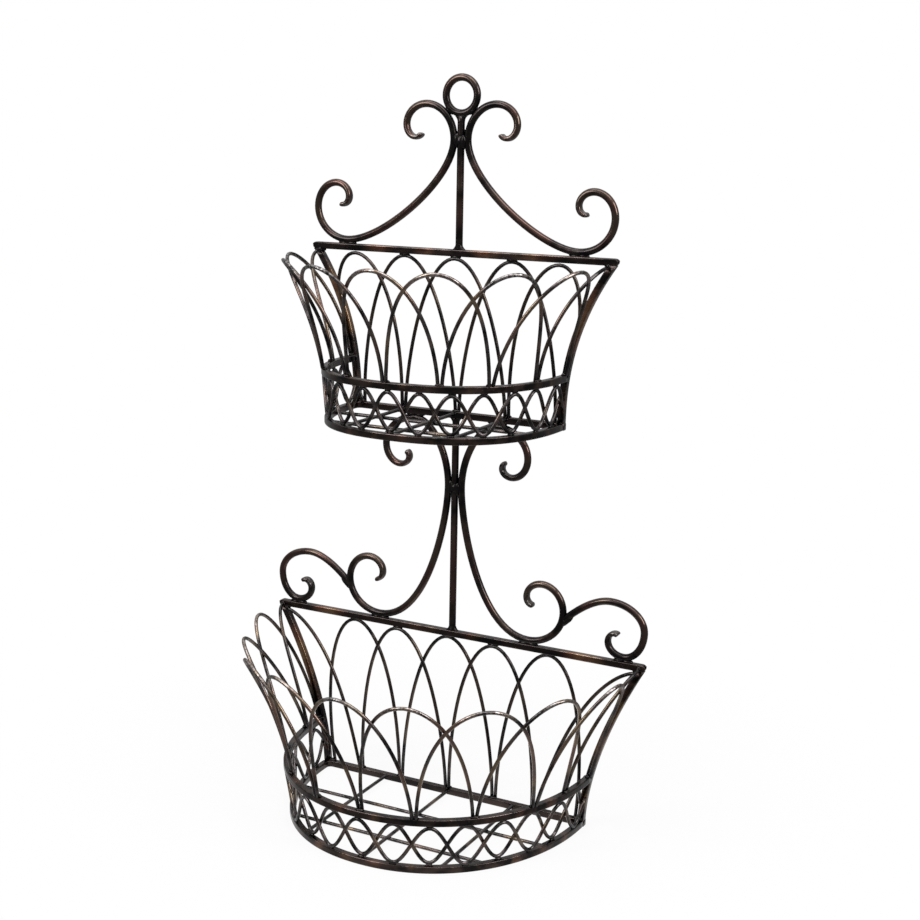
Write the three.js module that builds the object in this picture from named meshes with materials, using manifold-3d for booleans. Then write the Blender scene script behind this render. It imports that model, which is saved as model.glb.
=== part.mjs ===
// Two-tier wire planter: two half-moon baskets, one above the other, held by a scrolled back frame.
// Millimetres, +Z up. X runs along the back frame, +Y points to the wall behind it.
// The origin is on the underside of the lower basket's back bar, at its middle.
import * as THREE from 'three';
import { mergeVertices } from 'three/addons/utils/BufferGeometryUtils.js';
import Module from 'manifold-3d';

// Stock that the planter is bent from
const BAR = 6; // square bar of rails, posts, base rings and mid bands
const BAR_EASE = 0.8; // bevel on the long edges of the bar
const ROD = 6.3; // round rod of stems, scrolls and the hanging ring
const WIRE = 3.2; // round wire of hoops, lattice and floors
const SEAT = 0.3; // gap left for the weld where two pieces meet
const RAIL_ROUND = 1.2; // how far the upper edge of a top rail's end is rounded back

// The two baskets. A rise is measured between bar centres, a half width and a depth to the bar centre.
// Hoops are set by hand, so they are a little uneven. Each stands on the feet before and after its own.
// Front feet and crowns are shares of the way along the mid band, back ones are measured from the middle.
const LOWER = {
  name: 'lower',
  railRise: 152.5,
  bandRise: 43.5,
  baseHalf: 132,
  topHalf: 183,
  baseDepth: 158,
  topDepth: 190,
  flare: 1.7,
  fullness: 2.1,
  frontFeet: [0, 0.062, 0.17, 0.29, 0.408, 0.503, 0.605, 0.711, 0.826, 0.915, 1],
  frontCrowns: [0, 0.072, 0.2, 0.3, 0.38, 0.494, 0.587, 0.698, 0.812, 0.919, 1],
  frontCrownRise: 151.5,
  backFeet: [-93.5, -52.5, -1.5, 44.5, 86],
  backCrowns: [-102.5, -56, -5, 42, 94.5],
  backReach: 50,
  halfWaves: 15.1,
};
const UPPER = {
  name: 'upper',
  railRise: 140.5,
  bandRise: 42,
  baseHalf: 100.5,
  topHalf: 144,
  baseDepth: 116,
  topDepth: 152,
  flare: 2.3,
  fullness: 2.4,
  frontFeet: [0, 0.125, 0.25, 0.373, 0.493, 0.624, 0.739, 0.876, 1],
  frontCrowns: [0, 0.105, 0.25, 0.386, 0.497, 0.614, 0.75, 0.882, 1],
  frontCrownRise: 136,
  backFeet: [-51.5, 0, 50],
  backCrowns: [-54, -3, 50],
  backEndCrowns: [-102.5, 95],
  backReach: 49.5,
  halfWaves: 13.2,
};
const TIER_RISE = 200; // lower top rail to upper base ring
const CORNER_BEND = 6.5; // centre-line radius of the base ring's bent back corner
const HOOP_POWER = 4 / 3; // how pointed a full hoop is; 1 is an ellipse
const HALF_HOOP_POWER = 1;
const FLOOR_LONG_WIRES = [0.36, 0.7]; // places between the back bar and the front
const FLOOR_CROSS_WIRES = [-0.5, 0, 0.5]; // places along the half width
const FLOOR_BITE = 0.8; // how far crossing floor wires are pressed into each other

// Scrolls of the crest above the upper basket, measured from the stem and the rail centre.
// A curl tightens from its start radius to its end radius over its turn; a higher ease tightens sooner.
const CREST = {
  contact: 111.5,
  waistRise: 95,
  sweepAtWaist: 0.39,
  sweepAtRail: 0.33,
  headCurl: { start: 33.5, end: 4.4, turn: 340, ease: 1.5 },
  footCurl: { start: 34.5, end: 4.2, turn: 386, ease: 1.5 },
};
const RING_RADIUS = 14.7; // to the middle of the ring's rod

// Long scrolls between the baskets, measured from the stem and the lower rail centre
const MIDDLE = {
  contact: 75.5,
  waistRise: 135.5,
  topContact: 40.5,
  sweepAtWaist: 0.24,
  sweepAtRail: 0.72,
  sweepAtTop: 0.5,
  headCurl: { start: 35, end: 4.6, turn: 335, ease: 1.9 },
  footCurl: { start: 36, end: 4.4, turn: 365, ease: 1.3 },
};

// C-shaped scrolls on the lower rail, outside the long scrolls
const SHOULDER = {
  contact: 165,
  outerHalf: { reach: 18, rise: 24 },
  crown: { reach: 31.2, rise: 23.5 },
  tailLevel: 0.42,
  tailDrop: 6.5,
  curl: { start: 18, end: 4.2, turn: 222, ease: 1.8 },
};

// The free ends of scrolls are hammered out: thinner in the scroll's plane, wider across it
const FORGED = { length: 30, thickness: 3.6, width: 7.8 };

// Facets
const WIRE_SIDES = 6;
const ROD_SIDES = 8;
const HOOP_STEPS = 11;
const LATTICE_STEPS = 4;
const D_STEPS = 26;
const POST_STEPS = 6;
const CURL_STEP = 24;
const SWEEP_STEPS = 6;
const QUARTER_STEPS = 5;
const RING_STEPS = 20;
const ARC_SAMPLES = 300;
const BISECTIONS = 30;

// Derived sizes
const BAR_HALF = BAR / 2;
const LAYER = (WIRE + SEAT) / 2; // half the distance between the two layers of crossing wires
const WALL_START = BAR_HALF + SEAT; // where a basket's front wall leaves the front face of its posts
const ROD_PITCH = ROD + SEAT; // two rods side by side

const bronze = (color, roughness) => new THREE.MeshStandardMaterial({ color, roughness, metalness: 0.8 });
const BAR_FINISH = bronze(0x2b211d, 0.45);
const ROD_FINISH = bronze(0x33261f, 0.42);
const WIRE_FINISH = bronze(0x3a2d27, 0.48);

const wasm = await Module();
wasm.setup();

const planter = new THREE.Group();

function addPiece(name, geometry, material) {
  const mesh = new THREE.Mesh(geometry, material);
  mesh.name = name;
  planter.add(mesh);
}

// A path through given points: the sweep's stations are the points themselves.
class PointPath extends THREE.Curve {
  constructor(points) {
    super();
    this.points = points;
  }

  getPoint(t, target = new THREE.Vector3()) {
    const place = t * (this.points.length - 1);
    const index = Math.min(Math.floor(place), this.points.length - 2);
    return target.lerpVectors(this.points[index], this.points[index + 1], place - index);
  }

  getUtoTmapping(u) {
    return u;
  }

  getTangent(t, target = new THREE.Vector3()) {
    const last = this.points.length - 1;
    const index = Math.round(t * last);
    target.set(0, 0, 0);
    if (index > 0) target.add(this.points[index].clone().sub(this.points[index - 1]).normalize());
    if (index < last) target.add(this.points[index + 1].clone().sub(this.points[index]).normalize());
    return target.normalize();
  }
}

function roundSection(diameter, sides) {
  const corners = [];
  for (let i = 0; i < sides; i += 1) {
    const angle = (2 * Math.PI * (i + 0.5)) / sides;
    corners.push(new THREE.Vector2(Math.cos(angle), Math.sin(angle)).multiplyScalar(diameter / 2));
  }
  return new THREE.Shape(corners);
}

function barSection(width) {
  const half = width / 2;
  const flat = half - BAR_EASE;
  const corners = [
    [flat, -half], [half, -flat], [half, flat], [flat, half],
    [-flat, half], [-half, flat], [-half, -flat], [-flat, -half],
  ];
  return new THREE.Shape(corners.map(([x, y]) => new THREE.Vector2(x, y)));
}

// A tall section; on a level path a section's x stands upright
function tallSection(width, height) {
  const [x, y] = [height / 2, width / 2];
  const corners = [[x, -y], [x, y], [-x, y], [-x, -y]];
  return new THREE.Shape(corners.map((corner) => new THREE.Vector2(...corner)));
}

function sweep(points, section) {
  return new THREE.ExtrudeGeometry(section, {
    steps: points.length - 1,
    extrudePath: new PointPath(points),
    bevelEnabled: false,
  });
}

const sweepBar = (points) => sweep(points, barSection(BAR));
const sweepRod = (points) => sweep(points, roundSection(ROD, ROD_SIDES));
const sweepWire = (points) => sweep(points, roundSection(WIRE, WIRE_SIDES));

// Solids for cutting and joining
function toSolid(geometry) {
  const bare = geometry.index ? geometry.toNonIndexed() : geometry.clone();
  bare.deleteAttribute('normal');
  bare.deleteAttribute('uv');
  const merged = mergeVertices(bare, 1e-4);
  return new wasm.Manifold(new wasm.Mesh({
    numProp: 3,
    vertProperties: new Float32Array(merged.attributes.position.array),
    triVerts: new Uint32Array(merged.index.array),
  }));
}

function toGeometry(solid) {
  const mesh = solid.getMesh();
  const geometry = new THREE.BufferGeometry();
  geometry.setAttribute('position', new THREE.BufferAttribute(mesh.vertProperties, 3));
  geometry.setIndex(new THREE.BufferAttribute(mesh.triVerts, 1));
  const flat = geometry.toNonIndexed();
  flat.computeVertexNormals();
  return flat;
}

function cut(geometry, ...tools) {
  const solid = tools.reduce((rest, tool) => rest.subtract(toSolid(tool)), toSolid(geometry));
  return toGeometry(solid);
}

const lerp = THREE.MathUtils.lerp;
const point = (x, y, z) => new THREE.Vector3(x, y, z);
const flatPoint = ({ x, y }) => point(x, 0, y); // a point drawn in the back plane

function steps(count, place) {
  return Array.from({ length: count + 1 }, (unused, i) => place(i / count));
}

// Distances along a row of places, from the first one
function runningLengths(places) {
  const lengths = [0];
  for (let i = 1; i < places.length; i += 1) {
    lengths.push(lengths[i - 1] + places[i].distanceTo(places[i - 1]));
  }
  return lengths;
}

// Heights of a basket whose base ring has its centre at baseZ
function settle(basket, baseZ) {
  const railZ = baseZ + basket.railRise;
  const bandZ = baseZ + basket.bandRise;
  const heights = {
    baseZ,
    bandZ,
    railZ,
    baseTop: baseZ + BAR_HALF,
    bandTop: bandZ + BAR_HALF,
    railUnder: railZ - BAR_HALF,
    railTop: railZ + BAR_HALF,
    frontCrownZ: baseZ + basket.frontCrownRise,
    backCrownZ: railZ - BAR_HALF - SEAT - WIRE / 2,
  };
  return { ...basket, ...heights };
}

const lower = settle(LOWER, BAR_HALF);
const upper = settle(UPPER, lower.railZ + TIER_RISE);

// How far the wall has turned outwards at a height: 0 at the base ring, 1 at the top rail
const spread = (basket, z) => Math.max(0, (z - basket.baseZ) / basket.railRise) ** basket.flare;
const postX = (basket, z) => lerp(basket.baseHalf, basket.topHalf, spread(basket, z));

// The front wall's plan at a height: a full half oval from the left post to the right one
function planPoint(basket, angle, z) {
  const depth = lerp(basket.baseDepth, basket.topDepth, spread(basket, z)) - WALL_START;
  const power = 2 / basket.fullness;
  const across = Math.cos(angle);
  const x = -postX(basket, z) * Math.sign(across) * Math.abs(across) ** power;
  return point(x, -WALL_START - depth * Math.abs(Math.sin(angle)) ** power, z);
}

// Lengths along the mid band, for placing hoops and lattice waves by their share of it
function measureBand(basket) {
  const angles = steps(ARC_SAMPLES, (t) => Math.PI * t);
  const lengths = runningLengths(angles.map((angle) => planPoint(basket, angle, basket.bandZ)));
  const total = lengths[ARC_SAMPLES];
  const angleAt = (u) => {
    const wanted = THREE.MathUtils.clamp(u, 0, 1) * total;
    const next = Math.max(1, lengths.findIndex((length) => length >= wanted - 1e-9));
    const share = (wanted - lengths[next - 1]) / (lengths[next] - lengths[next - 1]);
    return lerp(angles[next - 1], angles[next], share);
  };
  return { total, angleAt };
}

lower.band = measureBand(lower);
upper.band = measureBand(upper);

// A point of the wall, u of the way along the band, moved out level until a layer's offset lies
// between it and the leaning wall
function wallPoint(basket, u, z, offset) {
  const angle = basket.band.angleAt(u);
  const nudge = Math.PI / ARC_SAMPLES;
  const before = planPoint(basket, Math.max(0, angle - nudge), z);
  const after = planPoint(basket, Math.min(Math.PI, angle + nudge), z);
  const along = after.sub(before).normalize();
  const outwards = point(along.y, -along.x, 0);
  const rise = planPoint(basket, angle, z + LAYER).sub(planPoint(basket, angle, z - LAYER));
  const lean = rise.dot(outwards) / rise.z;
  return planPoint(basket, angle, z).addScaledVector(outwards, offset * Math.hypot(1, lean));
}

// Neighbouring hoops lie in different layers, so that they cross without touching
const layerOf = (index) => (index % 2 ? LAYER : -LAYER);

// A hoop rises from a foot at across = -1 over a crown at 0 to a foot at 1. Its turn goes from 0 to 1.
function hoopPoint(turn, power, place) {
  const angle = Math.PI * turn;
  return place(-Math.cos(angle), Math.max(0, Math.sin(angle)) ** power);
}

function hoopPoints(from, to, power, place) {
  return steps(HOOP_STEPS, (t) => hoopPoint(lerp(from, to, t), power, place));
}

// The first and last front hoops are half hoops, whose missing feet mirror the ones they have.
function frontHoop(basket, index, from, to, power) {
  const { frontFeet, frontCrowns, frontCrownZ, band } = basket;
  const before = frontFeet[index - 1] ?? -frontFeet[1];
  const after = frontFeet[index + 1] ?? 2 - frontFeet.at(-2);
  const [left, right] = [before + LAYER / band.total, after - LAYER / band.total];
  const footZ = basket.bandTop + SEAT;
  return hoopPoints(from, to, power, (across, rise) => {
    const low = lerp(left, right, (1 + across) / 2);
    const high = frontCrowns[index] + (across * (right - left)) / 2;
    return wallPoint(basket, lerp(low, high, rise), lerp(footZ, frontCrownZ, rise), layerOf(index));
  });
}

// A foot stands upright on its bar.
function plantFeet(points, footZ, ends) {
  const planted = [...points];
  if (ends.includes('first')) {
    const { x, y } = planted[0];
    planted.splice(0, 1, point(x, y, footZ), point(x, y, footZ + WIRE / 2));
  }
  if (ends.includes('last')) {
    const { x, y } = planted.at(-1);
    planted.splice(-1, 1, point(x, y, footZ + WIRE / 2), point(x, y, footZ));
  }
  return planted;
}

// Feet of the back hoops on the base ring; the end ones stand beside the posts
function backFootX(basket, index) {
  const besidePost = basket.baseHalf - BAR_HALF - SEAT - WIRE / 2;
  if (index < 1) return -besidePost;
  return basket.backFeet[index - 1] ?? besidePost;
}

// Where a back hoop's wire is, for how far across and how high it has come
function backHoopPlace(basket, index, crownX) {
  const left = backFootX(basket, index - 1) + LAYER;
  const right = backFootX(basket, index + 1) - LAYER;
  const footZ = basket.baseTop + SEAT;
  return (across, rise) => {
    const low = lerp(left, right, (1 + across) / 2);
    const high = crownX + across * basket.backReach;
    return point(lerp(low, high, rise), layerOf(index), lerp(footZ, basket.backCrownZ, rise));
  };
}

function postPoints(basket, side) {
  return steps(POST_STEPS, (t) => {
    const z = lerp(basket.baseZ, basket.railZ, t);
    return point(side * postX(basket, z), 0, z);
  });
}

// Everything above or below a height, for cutting the ends of a post level
function slabBeyond(z, way, basket) {
  const slab = new THREE.BoxGeometry(3 * basket.topHalf, 8 * BAR, 8 * BAR);
  return slab.translate(0, 0, z + way * 4 * BAR);
}

// Everything behind the front faces of a basket's posts
function slabBehind(y, basket) {
  const slab = new THREE.BoxGeometry(3 * basket.topHalf, 8 * BAR, 3 * basket.railRise);
  return slab.translate(0, y + 4 * BAR, basket.baseZ);
}

// A wire's end on the front of a post runs straight back, past where it is cut
const runBack = ({ x, y, z }) => point(x, y + WIRE, z);

const SIDES = [['left', -1], ['right', 1]];
const LAYERS = [['outer', 1], ['inner', -1]];

// The rail ends flush with the outer faces of the posts: below its middle the end follows their lean,
// above it is rounded back
function addRail(basket) {
  const lean = (basket.flare * (basket.topHalf - basket.baseHalf)) / basket.railRise;
  const end = basket.topHalf + BAR_HALF * Math.hypot(1, lean);
  const rail = sweepBar([point(-end, 0, basket.railZ), point(end, 0, basket.railZ)]);
  const corners = rail.attributes.position;
  for (let i = 0; i < corners.count; i += 1) {
    const x = corners.getX(i);
    const above = corners.getZ(i) - basket.railZ;
    const inset = above > 0 ? RAIL_ROUND * (above / BAR_HALF) ** 2 : -lean * above;
    corners.setX(i, x - Math.sign(x) * inset);
  }
  rail.computeVertexNormals();
  addPiece(`${basket.name}_top_rail`, rail, BAR_FINISH);
}

function addPosts(basket) {
  const above = slabBeyond(basket.railUnder - SEAT, 1, basket);
  const below = slabBeyond(basket.baseTop + SEAT, -1, basket);
  for (const [sideName, side] of SIDES) {
    const bar = sweepBar(postPoints(basket, side));
    addPiece(`${basket.name}_post_${sideName}`, cut(bar, above, below), BAR_FINISH);
  }
}

// The post's bar with the weld gap around it, for cutting wires that end on it
function postTool(basket, side) {
  return sweep(postPoints(basket, side), barSection(BAR + 2 * SEAT));
}

// One bar bent round the basket's floor: along the back, round one corner and along the front oval,
// until its end meets the back stretch again.
function baseRingPoints(basket, extra) {
  const { baseHalf, baseDepth, baseZ, fullness } = basket;
  const bendShare = (CORNER_BEND - WALL_START) / (baseDepth - WALL_START);
  const bendAngle = Math.asin(bendShare ** (fullness / 2));
  const bend = steps(QUARTER_STEPS, (t) => {
    const angle = (Math.PI / 2) * (1 + t);
    const x = CORNER_BEND - baseHalf + CORNER_BEND * Math.cos(angle);
    return point(x, CORNER_BEND * (Math.sin(angle) - 1), baseZ);
  });
  const oval = steps(D_STEPS, (t) => planPoint(basket, lerp(bendAngle, Math.PI, t), baseZ));
  const end = oval.at(-1).clone().add(point(0, extra, 0));
  return [point(baseHalf + BAR_HALF + extra, 0, baseZ), ...bend, ...oval.slice(1, -1), end];
}

function addBaseRing(basket) {
  addPiece(`${basket.name}_base_ring`, sweepBar(baseRingPoints(basket, 0)), BAR_FINISH);
}

function addMidBand(basket) {
  const points = steps(D_STEPS, (t) => wallPoint(basket, t, basket.bandZ, 0));
  addPiece(`${basket.name}_mid_band`, sweepBar(points), BAR_FINISH);
}

function addFrontHoops(basket) {
  const footZ = basket.bandTop + SEAT;
  const last = basket.frontCrowns.length - 1;
  for (let index = 1; index < last; index += 1) {
    const points = plantFeet(frontHoop(basket, index, 0, 1, HOOP_POWER), footZ, ['first', 'last']);
    addPiece(`${basket.name}_front_hoop_${index}`, sweepWire(points), WIRE_FINISH);
  }
  const front = slabBehind(-WALL_START, basket);
  const left = plantFeet(frontHoop(basket, 0, 0.5, 1, HALF_HOOP_POWER), footZ, ['last']);
  left[0] = runBack(left[0]);
  addPiece(`${basket.name}_front_half_hoop_left`, cut(sweepWire(left), front), WIRE_FINISH);
  const right = plantFeet(frontHoop(basket, last, 0, 0.5, HALF_HOOP_POWER), footZ, ['first']);
  right.push(runBack(right.pop()));
  addPiece(`${basket.name}_front_half_hoop_right`, cut(sweepWire(right), front), WIRE_FINISH);
}

function addFullBackHoops(basket) {
  const footZ = basket.baseTop + SEAT;
  for (const [place, crownX] of basket.backCrowns.entries()) {
    const index = place + 1;
    const points = hoopPoints(0, 1, HOOP_POWER, backHoopPlace(basket, index, crownX));
    const planted = plantFeet(points, footZ, ['first', 'last']);
    addPiece(`${basket.name}_back_hoop_${index}`, sweepWire(planted), WIRE_FINISH);
  }
}

// Half hoops that start at the top of a post and come down inside the frame
function addBackHalfHoops(basket) {
  const footZ = basket.baseTop + SEAT;
  for (const [sideName, side] of SIDES) {
    const index = side < 0 ? 0 : basket.backCrowns.length + 1;
    const crownX = side * postX(basket, basket.backCrownZ);
    const [from, to, foot] = side < 0 ? [0.5, 1, 'last'] : [0, 0.5, 'first'];
    const points = hoopPoints(from, to, HALF_HOOP_POWER, backHoopPlace(basket, index, crownX));
    const wire = sweepWire(plantFeet(points, footZ, [foot]));
    const seated = cut(wire, postTool(basket, side));
    addPiece(`${basket.name}_back_half_hoop_${sideName}`, seated, WIRE_FINISH);
  }
}

// How far past its crown a hoop's outer leg runs until it meets the middle of the post
function turnToPost(basket, side, place) {
  let clear = 0;
  let past = 0.5;
  for (let i = 0; i < BISECTIONS; i += 1) {
    const middle = (clear + past) / 2;
    const { x, z } = hoopPoint(0.5 + side * middle, HOOP_POWER, place);
    if (side * x < postX(basket, z)) clear = middle;
    else past = middle;
  }
  return clear;
}

// End hoops whose outer leg stops against the flaring post
function addCutBackHoops(basket) {
  const footZ = basket.baseTop + SEAT;
  for (const [sideName, side] of SIDES) {
    const index = side < 0 ? 0 : basket.backCrowns.length + 1;
    const crownX = basket.backEndCrowns.at(side < 0 ? 0 : -1);
    const place = backHoopPlace(basket, index, crownX);
    const stop = 0.5 + side * turnToPost(basket, side, place);
    const [from, to, foot] = side < 0 ? [stop, 1, 'last'] : [0, stop, 'first'];
    const points = hoopPoints(from, to, HOOP_POWER, place);
    const seated = cut(sweepWire(plantFeet(points, footZ, [foot])), postTool(basket, side));
    addPiece(`${basket.name}_back_cut_hoop_${sideName}`, seated, WIRE_FINISH);
  }
}

// Two waves in opposite phase between the base ring and the mid band. At the middle one is highest and
// the other lowest, and their points run from there in even steps towards the posts.
function addLattice(basket) {
  const { halfWaves } = basket;
  const stride = 1 / (LATTICE_STEPS * halfWaves);
  const reach = Math.ceil(0.5 / stride) - 1;
  const places = steps(2 * reach, (t) => 0.5 + (2 * t - 1) * reach * stride);
  const low = basket.baseTop + SEAT + WIRE / 2;
  const high = basket.bandZ - BAR_HALF - SEAT - WIRE / 2;
  const front = slabBehind(-WALL_START, basket);
  for (const [layerName, sign] of LAYERS) {
    const wavePoint = (u) => {
      const height = (1 + sign * Math.cos(Math.PI * halfWaves * (u - 0.5))) / 2;
      return wallPoint(basket, u, lerp(low, high, height), sign * LAYER);
    };
    const ends = [0, 1].map((u) => runBack(wavePoint(u)));
    const wave = sweepWire([ends[0], ...places.map(wavePoint), ends[1]]);
    addPiece(`${basket.name}_lattice_${layerName}`, cut(wave, front), WIRE_FINISH);
  }
}

// Room over the back bar for the feet of the back hoops, which no floor wire may stand in
function footRoom(basket) {
  const reach = LAYER + WIRE / 2 + SEAT;
  const room = new THREE.BoxGeometry(2 * basket.baseHalf, 2 * reach, 4 * WIRE);
  return room.translate(0, 0, basket.baseTop + 2 * WIRE);
}

// The floor: wires along the basket below, wires from back to front above, welded where they cross
function addFloor(basket) {
  const lowZ = basket.baseZ - BAR_HALF + SEAT + WIRE / 2;
  const highZ = lowZ + WIRE - FLOOR_BITE;
  const wires = [];
  for (const place of FLOOR_LONG_WIRES) {
    const y = -place * basket.baseDepth;
    const share = ((-y - WALL_START) / (basket.baseDepth - WALL_START)) ** (basket.fullness / 2);
    const end = planPoint(basket, Math.asin(share), basket.baseZ).x;
    wires.push(sweepWire([point(end, y, lowZ), point(-end, y, lowZ)]));
  }
  for (const place of FLOOR_CROSS_WIRES) {
    const x = place * basket.baseHalf;
    const angle = Math.acos(Math.abs(place) ** (basket.fullness / 2));
    const end = planPoint(basket, angle, basket.baseZ).y;
    wires.push(sweepWire([point(x, 0, highZ), point(x, end, highZ)]));
  }
  const grid = wires.map(toSolid).reduce((all, wire) => all.add(wire));
  const wall = tallSection(BAR + 2 * SEAT, 2 * (BAR + WIRE));
  const ring = toSolid(sweep(baseRingPoints(basket, SEAT), wall));
  const seated = grid.subtract(ring).subtract(toSolid(footRoom(basket)));
  addPiece(`${basket.name}_floor_grid`, toGeometry(seated), WIRE_FINISH);
}

function addBasket(basket) {
  addRail(basket);
  addPosts(basket);
  addBaseRing(basket);
  addMidBand(basket);
  addFrontHoops(basket);
  addFullBackHoops(basket);
  if (basket.backEndCrowns) addCutBackHoops(basket);
  else addBackHalfHoops(basket);
  addLattice(basket);
  addFloor(basket);
}

// Scrolls are drawn on the right of the stem as (x, z) and mirrored for the left.

// A curl that tightens from its start radius to its tip; a positive turn goes from +x towards +z
function curlPoints(from, heading, side, curl) {
  const count = Math.round(curl.turn / CURL_STEP);
  const fine = 8;
  const turn = THREE.MathUtils.degToRad(curl.turn);
  const stride = turn / (count * fine);
  const here = from.clone();
  const points = [from.clone()];
  for (let i = 0; i < count * fine; i += 1) {
    const done = (i + 0.5) / (count * fine);
    const radius = curl.end + (curl.start - curl.end) * (1 - done) ** curl.ease;
    const angle = heading + side * done * turn;
    here.x += radius * stride * Math.cos(angle);
    here.y += radius * stride * Math.sin(angle);
    if ((i + 1) % fine === 0) points.push(here.clone());
  }
  return points;
}

// A sweep that leaves upright and arrives level
function sweepPoints(from, to, upright, level) {
  const leave = new THREE.Vector2(from.x, lerp(from.y, to.y, upright));
  const arrive = new THREE.Vector2(lerp(to.x, from.x, level), to.y);
  return new THREE.CubicBezierCurve(from, leave, arrive, to).getPoints(SWEEP_STEPS);
}

function quarterPoints(centre, reach, rise, from) {
  const curve = new THREE.EllipseCurve(centre.x, centre.y, reach, rise, from, from + Math.PI / 2);
  return curve.getPoints(QUARTER_STEPS);
}

const mirrored = (points, side) => points.map(({ x, y }) => flatPoint({ x: side * x, y }));

// A rod swept along points, with its first and, if asked, its last end hammered out.
// Each corner of the swept rod belongs to the path's point whose cross plane it lies in.
function forgedRod(points, bothEnds) {
  const rod = sweepRod(points);
  const path = new PointPath(points);
  const last = points.length - 1;
  const tangents = points.map((unused, index) => path.getTangent(index / last));
  const lengths = runningLengths(points);
  const misfit = (arm, index) => Math.abs(arm.length() - ROD / 2) + Math.abs(arm.dot(tangents[index]));
  const corners = rod.attributes.position;
  for (let i = 0; i < corners.count; i += 1) {
    const corner = new THREE.Vector3().fromBufferAttribute(corners, i);
    const misfits = points.map((place, index) => misfit(corner.clone().sub(place), index));
    const station = misfits.indexOf(Math.min(...misfits));
    const toLast = bothEnds ? lengths[last] - lengths[station] : Infinity;
    const toEnd = Math.min(lengths[station], toLast);
    const forged = 1 - THREE.MathUtils.smoothstep(toEnd, 0, FORGED.length);
    const thin = lerp(1, FORGED.thickness / ROD, forged);
    const wide = lerp(1, FORGED.width / ROD, forged);
    const arm = corner.sub(points[station]).multiply(point(thin, wide, thin));
    corners.setXYZ(i, ...arm.add(points[station]));
  }
  rod.computeVertexNormals();
  return rod;
}

const EAST = 0;
const NORTH = Math.PI / 2;
const WEST = Math.PI;

function crestScroll() {
  const waist = new THREE.Vector2(ROD_PITCH, upper.railZ + CREST.waistRise);
  const contact = new THREE.Vector2(CREST.contact, upper.railTop + SEAT + ROD / 2);
  const head = curlPoints(waist, NORTH, -1, CREST.headCurl).reverse();
  const body = sweepPoints(waist, contact, CREST.sweepAtWaist, CREST.sweepAtRail);
  const foot = curlPoints(contact, EAST, 1, CREST.footCurl);
  return [...head, ...body.slice(1), ...foot.slice(1)];
}

function middleScroll() {
  const waist = new THREE.Vector2(ROD_PITCH, lower.railZ + MIDDLE.waistRise);
  const contact = new THREE.Vector2(MIDDLE.contact, lower.railTop + SEAT + ROD / 2);
  const top = new THREE.Vector2(MIDDLE.topContact, upper.baseZ - BAR_HALF - SEAT - ROD / 2);
  const head = curlPoints(top, EAST, -1, MIDDLE.headCurl).reverse();
  const neck = sweepPoints(waist, top, MIDDLE.sweepAtTop, MIDDLE.sweepAtTop).reverse();
  const body = sweepPoints(waist, contact, MIDDLE.sweepAtWaist, MIDDLE.sweepAtRail);
  const foot = curlPoints(contact, EAST, 1, MIDDLE.footCurl);
  return [...head, ...neck.slice(1), ...body.slice(1), ...foot.slice(1)];
}

// The C scroll ends on the outer side of the long scroll's curl.
function shoulderScroll(rest) {
  const contact = new THREE.Vector2(SHOULDER.contact, lower.railTop + SEAT + ROD / 2);
  const { outerHalf, crown } = SHOULDER;
  const centre = new THREE.Vector2(contact.x, contact.y + outerHalf.rise);
  const outer = quarterPoints(centre, outerHalf.reach, outerHalf.rise, -Math.PI / 2);
  const crownCentre = new THREE.Vector2(centre.x + outerHalf.reach - crown.reach, centre.y);
  const over = quarterPoints(crownCentre, crown.reach, crown.rise, 0);
  const top = over.at(-1);
  const level = new THREE.Vector2(lerp(top.x, rest.x, SHOULDER.tailLevel), top.y);
  const tail = new THREE.QuadraticBezierCurve(top, level, rest).getPoints(SWEEP_STEPS);
  const curl = curlPoints(contact, WEST, -1, SHOULDER.curl).reverse();
  return [...curl, ...outer.slice(1), ...over.slice(1), ...tail.slice(1)];
}

// The ring settles between the heads of the two crest scrolls.
function ringHeight(scroll) {
  const reach = RING_RADIUS + ROD_PITCH;
  const near = scroll.filter(({ x, y }) => x < reach && y > upper.railZ + CREST.waistRise);
  return Math.max(...near.map(({ x, y }) => y + Math.sqrt(reach ** 2 - x ** 2)));
}

function addStem(name, fromZ, toZ) {
  addPiece(name, sweepRod([point(0, 0, fromZ), point(0, 0, toZ)]), ROD_FINISH);
}

function addCrest() {
  const scroll = crestScroll();
  for (const [sideName, side] of SIDES) {
    addPiece(`crest_scroll_${sideName}`, forgedRod(mirrored(scroll, side), true), ROD_FINISH);
  }
  const ringZ = ringHeight(scroll);
  const ring = new THREE.TorusGeometry(RING_RADIUS, ROD / 2, ROD_SIDES, RING_STEPS);
  ring.rotateX(Math.PI / 2);
  ring.translate(0, 0, ringZ);
  addPiece('hanging_ring', ring, ROD_FINISH);
  addStem('crest_stem', upper.railTop + SEAT, ringZ - RING_RADIUS - ROD / 2 - SEAT);
}

function addMiddle() {
  addStem('middle_stem', lower.railTop + SEAT, upper.baseZ - BAR_HALF - SEAT);
  const scroll = middleScroll();
  const lowHalf = scroll.filter(({ y }) => y < lower.railZ + MIDDLE.waistRise);
  const outermost = lowHalf.reduce((best, place) => (place.x > best.x ? place : best));
  const rest = new THREE.Vector2(outermost.x, outermost.y - SHOULDER.tailDrop);
  const shoulder = shoulderScroll(rest);
  for (const [sideName, side] of SIDES) {
    const long = mirrored(scroll, side);
    addPiece(`middle_scroll_${sideName}`, forgedRod(long, true), ROD_FINISH);
    const tool = sweep(long, roundSection(ROD + 2 * SEAT, ROD_SIDES));
    const seated = cut(forgedRod(mirrored(shoulder, side), false), tool);
    addPiece(`shoulder_scroll_${sideName}`, seated, ROD_FINISH);
  }
}

addBasket(lower);
addMiddle();
addBasket(upper);
addCrest();

export default planter;
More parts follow.
